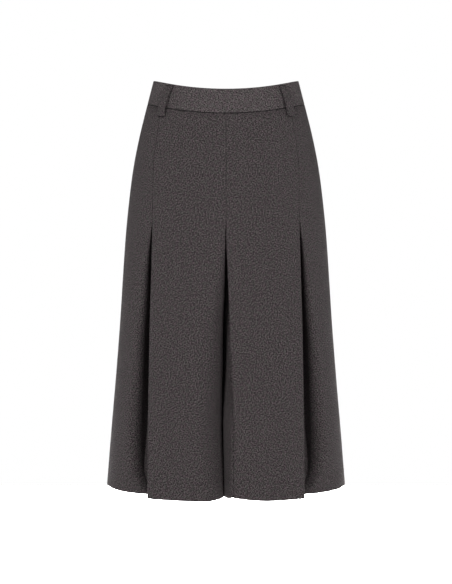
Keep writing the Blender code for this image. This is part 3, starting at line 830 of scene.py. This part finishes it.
def band_profile():
    """Distances down and inwards round the folded strip, from its inner edge over the top to the seam."""
    radius = BAND_THICK / 2
    inside = [(down, BAND_THICK) for down in np.linspace(BAND_HEIGHT + BAND_LAP, radius, BAND_FACE_ROWS)]
    over = []
    for k in range(1, BAND_FOLD_STEPS):
        angle = math.pi * k / BAND_FOLD_STEPS
        over.append((radius - radius * math.sin(angle), radius + radius * math.cos(angle)))
    outside = [(down, 0.0) for down in np.linspace(radius, BAND_HEIGHT - BAND_TUCK, BAND_FACE_ROWS)]
    tucked = [(BAND_HEIGHT - short * BAND_TUCK, deep * BAND_TUCK) for short, deep in TUCK_STEPS]
    return inside + over + outside + tucked


def band_stops():
    """Face, side and share of the quarter round the waist, from the centre back and back to it."""
    stops = []
    for face, side, towards in (("back", -1, 1), ("front", -1, -1), ("front", 1, 1), ("back", 1, -1)):
        for k in range(BAND_COLUMNS):
            share = k / BAND_COLUMNS
            stops.append((face, side, share if towards > 0 else 1 - share))
    return [*stops, ("back", 1, 0.0)]


def band_point(face, side, share, down, inward):
    """A point of the band, some way below its top edge."""
    drop = down
    for _ in range(SETTLE_ROUNDS):
        along = share * side_length(face, drop)
        if face == "back":
            along = max(along, SEAM_GAP / 2)
        across, deep = place(face, drop, along, inward)
        drop = band_top(face, float(across), drop) + down
    return side * float(across), float(deep) * (-1 if face == "front" else 1), -drop


profile = band_profile()
grid = np.array([[band_point(*stop, *step) for stop in band_stops()] for step in profile])
band = cloth("waistband_cloth", grid, np.ones(grid.shape[1], bool))
dress(band, band_cloth_painted_lighter, "suiting", "waistband")
print("waistband:", grid.shape[:2])

# %% [markdown]
# A belt loop is a narrow strip folded in three and pressed, 15 mm wide. It is sewn down above and
# below and stands off between, so that a belt can pass. Two shares of the half width say where its
# upper and its lower end sit.

# %% Belt loops
LOOP_SHARES = {"front": (0.735, 0.762), "back": (0.620, 0.620)}
LOOP_WIDTH = 0.0150
LOOP_BELOW = 0.0160
LOOP_LIFT = 0.0062
LOOP_FULLNESS = 0.6
LOOP_THICK = 0.0020
LOOP_ROWS = 60
LOOP_COLUMNS = 13
LOOP_CROWN = 0.0007
LOOP_TOP = 0.0022


def loop_grid(face, side):
    """The strip's outer surface, crowned across and lifted off the band between its sewn ends."""
    high, low = LOOP_SHARES[face]
    turn = side if face == "front" else -side
    rows = []
    for down in np.linspace(0, 1, LOOP_ROWS):
        share = high + (low - high) * down
        drop = BAND_HEIGHT
        for _ in range(SETTLE_ROUNDS):
            middle = share * read(FORM, "half_width", drop)
            drop = band_top(face, middle, drop) + LOOP_TOP + down * (BAND_HEIGHT + LOOP_BELOW - LOOP_TOP)
        across, _, lengths, _ = quarter(face, drop)
        offsets = np.linspace(-1, 1, LOOP_COLUMNS)
        along = np.interp(middle, across, lengths) + turn * offsets * LOOP_WIDTH / 2
        stand = SEAM_GAP + LOOP_LIFT * math.sin(math.pi * down) ** LOOP_FULLNESS
        stand = stand + LOOP_THICK - LOOP_CROWN * offsets**4
        x, y = place(face, drop, along, -stand)
        y = y * (-1 if face == "front" else 1)
        rows.append(np.stack([side * x, y, np.full(LOOP_COLUMNS, -drop)], 1))
    return np.array(rows)


loops = {}
for face in LOOP_SHARES:
    for hand, side in (("left", -1), ("right", 1)):
        grid = loop_grid(face, side)
        name = "loop_cloth_" + face + "_" + hand
        whole = np.ones(LOOP_COLUMNS, bool)
        piece = cloth(name, grid, whole, LOOP_THICK - LOOP_CROWN)
        dress(piece, panel_cloth, "suiting", "belt_loop_" + face + "_" + hand)
        loops[face + "_" + hand] = (piece, grid)
print("belt loops:", sorted(loops))

# %% [markdown]
# Thread is a thin tube swept along a path. Bar tacks hold each loop at both ends: one thread that
# runs to and fro across it, near-black, so that at each lower end it also paints the shadow under
# the loop. A dark cord along the waist seam paints the shade in the groove between the band and the
# panels; it stands where the seam's stitching sinks, drawn far thicker than real thread so that the
# groove reads as a dark line. The hem is caught by short pick stitches, drawn as dark thread on the
# outside, whose faint line is also painted shade of the hem line's groove.

# %% Helpers for thread and plain finishes
THREAD_RADIUS = 0.00030
THREAD_SIDES = 5
TACK_WIDTH = 0.0110
TACK_HEIGHT = 0.0016
TACK_TURNS = 12
TACK_ENDS = (0.020, 0.980)
UPRIGHT = 0.1


def plain(name, colour, roughness, metallic=0.0):
    """A material of one even colour."""
    made = bpy.data.materials.new(name)
    made.use_nodes = True
    shader = made.node_tree.nodes["Principled BSDF"]
    shader.inputs["Base Color"].default_value = linear(colour)
    shader.inputs["Roughness"].default_value = roughness
    shader.inputs["Metallic"].default_value = metallic
    return made


def tube(name, paths, radius, sides):
    """Thin round threads, one along each path."""
    bm = bmesh.new()
    for path in paths:
        path = np.array(path, float)
        heading = np.gradient(path, axis=0)
        heading /= np.linalg.norm(heading, axis=1, keepdims=True)
        first = np.cross(heading, (0, 0, 1))
        upright = np.linalg.norm(first, axis=1) < UPRIGHT
        first[upright] = np.cross(heading[upright], (0, 1, 0))
        first /= np.linalg.norm(first, axis=1, keepdims=True)
        second = np.cross(heading, first)
        rings = []
        for k in range(sides):
            angle = 2 * math.pi * k / sides
            rings.append(path + radius * (first * math.cos(angle) + second * math.sin(angle)))
        verts = [[bm.verts.new(rings[k][i]) for k in range(sides)] for i in range(len(path))]
        for i in range(len(path) - 1):
            for k in range(sides):
                after = (k + 1) % sides
                bm.faces.new((verts[i][k], verts[i][after], verts[i + 1][after], verts[i + 1][k]))
        bm.faces.new(verts[0][::-1])
        bm.faces.new(verts[-1])
    bmesh.ops.recalc_face_normals(bm, faces=bm.faces)
    mesh = bpy.data.meshes.new(name)
    bm.to_mesh(mesh)
    bm.free()
    mesh.shade_smooth()
    made = bpy.data.objects.new(name, mesh)
    bpy.context.scene.collection.objects.link(made)
    return made


print("thread is", THREAD_RADIUS * 2000, "mm thick")

# %% Bar tacks, whose near-black thread also paints the shadow under the loops' ends
# Spun polyester sewing thread: matt, and near-black, darker than the cloth, so that it also paints
# shade in the waist seam's groove, along the hem line and under the loops' lower ends.
thread = plain("polyester thread, dull, near-black for painted shade", "#0f0c0d", 0.7)
tack_rows = TACK_HEIGHT / (BAND_HEIGHT + LOOP_BELOW) * (LOOP_ROWS - 1)
for name, (piece, grid) in loops.items():
    paths = []
    for end in TACK_ENDS:
        row = end * (LOOP_ROWS - 1)
        path = []
        for k in range(2 * TACK_TURNS):
            down = row + (k / (2 * TACK_TURNS - 1) - 0.5) * tack_rows
            column = (LOOP_COLUMNS - 1) * (0.5 + (k % 2 - 0.5) * TACK_WIDTH / LOOP_WIDTH)
            i = int(min(max(down, 0), LOOP_ROWS - 2))
            j = int(column)
            t, u = min(max(down - i, 0), 1), column - j
            high = grid[i, j] * (1 - u) + grid[i, j + 1] * u
            low = grid[i + 1, j] * (1 - u) + grid[i + 1, j + 1] * u
            path.append(high * (1 - t) + low * t)
        paths.append(path)
    # At each loop's lower end the near-black tack also paints the shadow under the loop.
    tack = tube("tacks_and_painted_shadow_" + name, paths, THREAD_RADIUS, THREAD_SIDES)
    dress(tack, thread, "suiting")
print("bar tacks:", len(loops) * len(TACK_ENDS))

# %% Painted shade: a dark cord in the waist seam, and dark hem stitches
SEAM_SHADE_CORD = 0.00045
SEAM_SHADE_CORD_DOWN = 0.00075
SEAM_SHADE_CORD_DEPTH = 0.0008
# A near-black cord sunk in the waist seam's groove: painted shade, so that the groove reads as a dark
# line.
ring = [band_point(*stop, BAND_HEIGHT + SEAM_SHADE_CORD_DOWN, SEAM_SHADE_CORD_DEPTH) for stop in band_stops()]
seam = tube("waist_seam_painted_shade", [ring], SEAM_SHADE_CORD, THREAD_SIDES)
dress(seam, thread, "suiting")

# Pick stitches in near-black thread along the outside of the hem line: stitches, and painted shade of the
# line's groove.
PICK_LENGTH = 0.0035
PICK_PITCH = 0.0070
PICK_POINTS = 4
picks = []
for grid, kept in laid:
    row = UPPER_ROWS + LINE_ROWS // 2
    line = grid[row][kept]
    lengths = np.concatenate([[0.0], np.cumsum(np.linalg.norm(np.diff(line, axis=0), axis=1))])
    for start in np.arange(PICK_LENGTH, lengths[-1] - PICK_LENGTH, PICK_PITCH):
        marks = start + PICK_LENGTH * np.linspace(0, 1, PICK_POINTS)
        picks.append(np.stack([np.interp(marks, lengths, line[:, axis]) for axis in range(3)], 1))
hem_stitch_shade = tube("hem_stitches_painted_shade", picks, THREAD_RADIUS, THREAD_SIDES)
dress(hem_stitch_shade, thread, "suiting")
print("hem stitches:", len(picks))

# %% [markdown]
# The zip is concealed in the centre-back seam: a woven tape and a wound coil inside, and a small
# painted-metal slider whose pull hangs on the band outside. The coil is one thread to each side,
# wound round and round, and its turns mesh with the other's. The real pitch is 0.8 mm, drawn here
# as 1.3 mm so that each turn can be seen.

# %% Zip
TAPE_WIDTH = 0.0240
TAPE_THICK = 0.0007
TAPE_TOP = BACK_DIP + 0.0040
TAPE_END = 0.2150
TAPE_INSIDE = 0.0036
TAPE_COLUMNS = 13
TAPE_ROWS = 60
COIL_PITCH = 0.0013
COIL_STEPS = 10
COIL_REACH = 0.0012
COIL_DEPTH = 0.0007
COIL_THREAD = 0.00028
COIL_BELOW_TOP = 0.0100
COIL_ENDS = 0.0200
COIL_OFF_CENTRE = 0.0007

print("zip opening:", round(TAPE_END - TAPE_TOP, 3), "m")

# %% Zip tape
drops = np.linspace(TAPE_TOP, TAPE_END, TAPE_ROWS)
tape_along = np.linspace(TAPE_WIDTH / 2, -TAPE_WIDTH / 2, TAPE_COLUMNS)
tape_rows = []
for drop in drops:
    x, y = place("back", drop, tape_along, TAPE_INSIDE)
    tape_rows.append(np.stack([x, y, np.full(TAPE_COLUMNS, -drop)], 1))
tape = cloth(
    "zip_tape_cloth", np.array(tape_rows), np.ones(TAPE_COLUMNS, bool), TAPE_THICK
)
# Woven polyester tape is matt, and the moulded coil a little smoother.
dress(tape, plain("polyester tape, woven", "#393435", 0.8), "zip_tape", "zip_tape")
print("tape rows and columns:", TAPE_ROWS, TAPE_COLUMNS)

# %% Zip coil
coils = []
turns = int((TAPE_END - TAPE_TOP - COIL_ENDS) / COIL_PITCH)
for side in (-1, 1):
    path = []
    for k in range(turns * COIL_STEPS):
        angle = 2 * math.pi * k / COIL_STEPS + (math.pi if side > 0 else 0)
        drop = TAPE_TOP + COIL_BELOW_TOP + COIL_PITCH * k / COIL_STEPS
        along = side * COIL_OFF_CENTRE + COIL_REACH * math.cos(angle)
        inward = TAPE_INSIDE + TAPE_THICK + COIL_DEPTH + COIL_THREAD + COIL_DEPTH * math.sin(angle)
        x, y = place("back", drop, along, inward)
        path.append((float(x), float(y), -drop))
    coils.append(path)
coil = tube("zip_coil", coils, COIL_THREAD, THREAD_SIDES)
dress(coil, plain("polyester coil", "#2c2829", 0.45), "zip_tape")
print("coil turns:", turns)

# %% [markdown]
# The slider is a small plate with an arch on it, and the pull hangs by its slot from that arch.
# Both are built flat, across, out and up, and then set on the band's leaning surface.

# %% Sizes and helpers for the slider and the pull
ZIP_DROP = 0.0170
ZIP_STEP = 0.0020
PLATE_WIDTH = 0.0046
PLATE_FOOT = 0.0038
PLATE_THICK = 0.0017
PLATE_HEIGHT = 0.0090
PLATE_OUT = 0.0003
PLATE_ROUND = 0.0006
ARCH_WIDTH = 0.0018
ARCH_OUT = 0.0020
ARCH_INNER = (0.0019, 0.0027)
ARCH_OUTER = (0.0030, 0.0035)
ARCH_STEPS = 14
PULL_OUT = 0.00295
PULL_UP = -0.0011
PULL_THICK = 0.0010
PULL_TOP = 0.0005
PULL_TOP_HALF = 0.0023
PULL_TIP = 0.0031
PULL_LENGTH = 0.0230
PULL_ROUND = 0.0003
SLOT_HALF = (0.0012, 0.0017)
SLOT_DOWN = 0.0022
PULL_TOP_POINTS = 6
PULL_SIDE_POINTS = 12
PULL_TIP_POINTS = 18
SHARP = math.radians(50)


def on_the_band(bm):
    """Sets a part built across, out and up on the back of the band, at the zip."""
    steps = (0, -ZIP_STEP, ZIP_STEP)
    here, above, under = (float(quarter("back", ZIP_DROP + step)[1][0]) for step in steps)
    lean = math.atan2(under - above, 2 * ZIP_STEP)
    for vertex in bm.verts:
        x, y, z = vertex.co
        vertex.co.y = here + y * math.cos(lean) - z * math.sin(lean)
        vertex.co.z = y * math.sin(lean) + z * math.cos(lean) - ZIP_DROP


def round_edges(bm, amount):
    """Rounds the sharp edges of a part."""
    bmesh.ops.recalc_face_normals(bm, faces=bm.faces)
    sharp = [edge for edge in bm.edges if edge.is_manifold and edge.calc_face_angle() > SHARP]
    bmesh.ops.bevel(
        bm,
        geom=sharp,
        offset=amount,
        segments=2,
        profile=0.5,
        affect="EDGES",
        clamp_overlap=True,
        material=-1,
    )


def finished(name, bm, material, node, body):
    """A metal part of the zip, set on the band and carried by its body."""
    on_the_band(bm)
    bmesh.ops.recalc_face_normals(bm, faces=bm.faces)
    mesh = bpy.data.meshes.new(name)
    bm.to_mesh(mesh)
    bm.free()
    mesh.shade_smooth()
    mesh.materials.append(material)
    made = bpy.data.objects.new(name, mesh)
    bpy.context.scene.collection.objects.link(made)
    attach(made, body)
    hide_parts(node)
    return made


# Die-cast zinc under satin paint in the cloth's colour: a soft, low gloss.
zip_metal = plain("zinc, painted dark grey", "#4a4747", 0.4, 0.6)
print("pull length:", PULL_LENGTH)

# %% Zip slider
bm = bmesh.new()
bmesh.ops.create_cube(bm, size=1)
for vertex in bm.verts:
    x, y, z = vertex.co
    width = PLATE_WIDTH if z > 0 else PLATE_FOOT
    vertex.co = (x * width, PLATE_OUT + (y + 0.5) * PLATE_THICK, z * PLATE_HEIGHT)
round_edges(bm, PLATE_ROUND)
arch = []
for angle in np.linspace(-math.pi / 2, math.pi / 2, ARCH_STEPS):
    ring = []
    for side, (out, up) in ((-1, ARCH_INNER), (-1, ARCH_OUTER), (1, ARCH_OUTER), (1, ARCH_INNER)):
        away = ARCH_OUT + out * math.cos(angle) - PLATE_ROUND / 2
        ring.append(bm.verts.new((side * ARCH_WIDTH / 2, away, up * math.sin(angle))))
    arch.append(ring)
for low_ring, high_ring in zip(arch, arch[1:]):
    for k in range(4):
        after = (k + 1) % 4
        bm.faces.new((low_ring[k], low_ring[after], high_ring[after], high_ring[k]))
bm.faces.new(arch[0])
bm.faces.new(arch[-1][::-1])
slider = finished("zip_slider_metal", bm, zip_metal, "zip_slider", "skirt")
print("slider faces:", len(slider.data.polygons))

# %% Zip pull
tip_up = PULL_TIP - PULL_LENGTH
outline = [
    (x, PULL_TOP) for x in np.linspace(-PULL_TOP_HALF, PULL_TOP_HALF, PULL_TOP_POINTS, endpoint=False)
]
for t in np.linspace(0, 1, PULL_SIDE_POINTS, endpoint=False):
    outline.append((PULL_TOP_HALF + (PULL_TIP - PULL_TOP_HALF) * t, PULL_TOP + (tip_up - PULL_TOP) * t))
for angle in np.linspace(0, -math.pi, PULL_TIP_POINTS, endpoint=False):
    outline.append((PULL_TIP * math.cos(angle), tip_up + PULL_TIP * math.sin(angle)))
for t in np.linspace(1, 0, PULL_SIDE_POINTS, endpoint=False):
    outline.append((-PULL_TOP_HALF - (PULL_TIP - PULL_TOP_HALF) * t, PULL_TOP + (tip_up - PULL_TOP) * t))
bm = bmesh.new()
rings = {}
for y in (-PULL_THICK / 2, PULL_THICK / 2):
    outer, inner = [], []
    for x, z in outline:
        towards = z + SLOT_DOWN
        scale = 1 / math.hypot(x / SLOT_HALF[0], towards / SLOT_HALF[1])
        outer.append(bm.verts.new((x, PULL_OUT + y, PULL_UP + z)))
        inner.append(bm.verts.new((x * scale, PULL_OUT + y, PULL_UP - SLOT_DOWN + towards * scale)))
    rings[y > 0] = (outer, inner)
count = len(outline)
for k in range(count):
    after = (k + 1) % count
    for first, second in (
        (rings[True][0], rings[True][1]),
        (rings[True][1], rings[False][1]),
        (rings[False][1], rings[False][0]),
        (rings[False][0], rings[True][0]),
    ):
        bm.faces.new((first[k], first[after], second[after], second[k]))
round_edges(bm, PULL_ROUND)
pull = finished("zip_pull_metal", bm, zip_metal, "zip_pull", "pull")
print("pull faces:", len(pull.data.polygons))

# %% [markdown]
# Plain studio: a pale floor, a white surround, two softboxes in front and two soft strips that
# brighten the skirt's sides. A lamp of its own behind the skirt brings the floor up to white. The
# surround is white where it is seen, but gives only a little fill light to the cloth.

# %% Sizes of the studio
LAMP_COLUMNS = ("name", "azimuth", "elevation", "distance", "width", "height", "power")
LAMPS = (
    ("left softbox", -28, 20, 2.6, 0.8, 1.2, 30),
    ("right softbox", 28, 20, 2.6, 0.8, 1.2, 30),
    ("left strip", -100, 5, 1.6, 0.4, 1.2, 6),
    ("right strip", 100, 5, 1.6, 0.4, 1.2, 6),
)
LIGHT_AIM_DROP = 0.28
FILL_STRENGTH = 0.05
FLOOR_DROP = 1.0
FLOOR_SIZE = 1.30
FLOOR_LAMP_PLACE = (0, 1.00, 1.20)
FLOOR_LAMP_SIZE = 0.9
FLOOR_LAMP_SPREAD = 50
FLOOR_LAMP_POWER = 60
print("lamps:", len(LAMPS) + 1)

# %% Floor
floor_mesh = bmesh.new()
bmesh.ops.create_grid(floor_mesh, x_segments=1, y_segments=1, size=FLOOR_SIZE)
bmesh.ops.translate(floor_mesh, vec=(0, 0, -FLOOR_DROP), verts=floor_mesh.verts)
data = bpy.data.meshes.new("floor")
floor_mesh.to_mesh(data)
floor_mesh.free()
floor = bpy.data.objects.new("floor", data)
bpy.context.scene.collection.objects.link(floor)
paint = bpy.data.materials.new("pale studio floor")
paint.use_nodes = True
paint.node_tree.nodes["Principled BSDF"].inputs["Base Color"].default_value = linear("#fdfdfd")
paint.node_tree.nodes["Principled BSDF"].inputs["Roughness"].default_value = 1.0
data.materials.append(paint)
floor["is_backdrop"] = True
print("floor is", FLOOR_DROP - HEM, "m below the hem")

# %% White surround
surround = bpy.data.worlds.new("white surround")
surround.use_nodes = True
sky = surround.node_tree
paths = add_node(sky, "ShaderNodeLightPath")
level = add_node(
    sky,
    "ShaderNodeMapRange",
    values={"To Min": FILL_STRENGTH, "To Max": 1.0},
    links={"Value": paths.outputs["Is Camera Ray"]},
)
sky.nodes["Background"].inputs["Color"].default_value = (1, 1, 1, 1)
sky.links.new(level.outputs["Result"], sky.nodes["Background"].inputs["Strength"])
bpy.context.scene.world = surround
print("surround:", surround.name)


# %% Lights
def softbox(name, azimuth, elevation, distance, width, height, power):
    """An area light on a sphere round the skirt's middle, facing it. Azimuth 0 is in front."""
    lamp = bpy.data.lights.new(name, "AREA")
    lamp.shape = "RECTANGLE"
    lamp.size, lamp.size_y = width, height
    lamp.energy = power
    holder = bpy.data.objects.new(name, lamp)
    bpy.context.scene.collection.objects.link(holder)
    turn, lift = math.radians(azimuth), math.radians(elevation)
    flat = distance * math.cos(lift)
    height_at = distance * math.sin(lift) - LIGHT_AIM_DROP
    holder.location = (flat * math.sin(turn), -flat * math.cos(turn), height_at)
    holder.rotation_euler = (math.pi / 2 - lift, 0, turn)
    return holder


for row in LAMPS:
    softbox(**dict(zip(LAMP_COLUMNS, row)))
wash = bpy.data.lights.new("floor lamp", "AREA")
wash.size = FLOOR_LAMP_SIZE
wash.spread = math.radians(FLOOR_LAMP_SPREAD)
wash.energy = FLOOR_LAMP_POWER
wash_holder = bpy.data.objects.new("floor lamp", wash)
wash_holder.location = FLOOR_LAMP_PLACE
bpy.context.scene.collection.objects.link(wash_holder)
print("floor lamp at", FLOOR_LAMP_PLACE)

# %% [markdown]
# The camera stands level with the hips and looks straight ahead, tipped so that the horizon falls on
# the row where the photograph has it. Its lens follows from how much the skirt narrows with distance.

# %% Camera
CAMERA_BACK = 2.45
CAMERA_DROP = 0.170
PHOTO_HEIGHT = 584
FOCAL_PIXELS = 1400
HORIZON_ROW = 179.5
lens = bpy.data.cameras.new("camera")
lens.sensor_width = 36
lens.lens = FOCAL_PIXELS * lens.sensor_width / PHOTO_HEIGHT
camera = bpy.data.objects.new("camera", lens)
bpy.context.scene.collection.objects.link(camera)
camera.location = (0, -CAMERA_BACK, -CAMERA_DROP)
pitch = math.atan((PHOTO_HEIGHT / 2 - HORIZON_ROW) / FOCAL_PIXELS)
camera.rotation_euler = (math.pi / 2 - pitch, 0, 0)
bpy.context.scene.camera = camera
bpy.context.scene.view_settings.view_transform = "Standard"
print("lens:", round(lens.lens, 1), "mm")

# %% [markdown]
# Last, the box of the finished pieces is printed.

# %% Sizes, and the end
low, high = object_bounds()
print("box of the pieces:", [round(b - a, 4) for a, b in zip(low, high)])
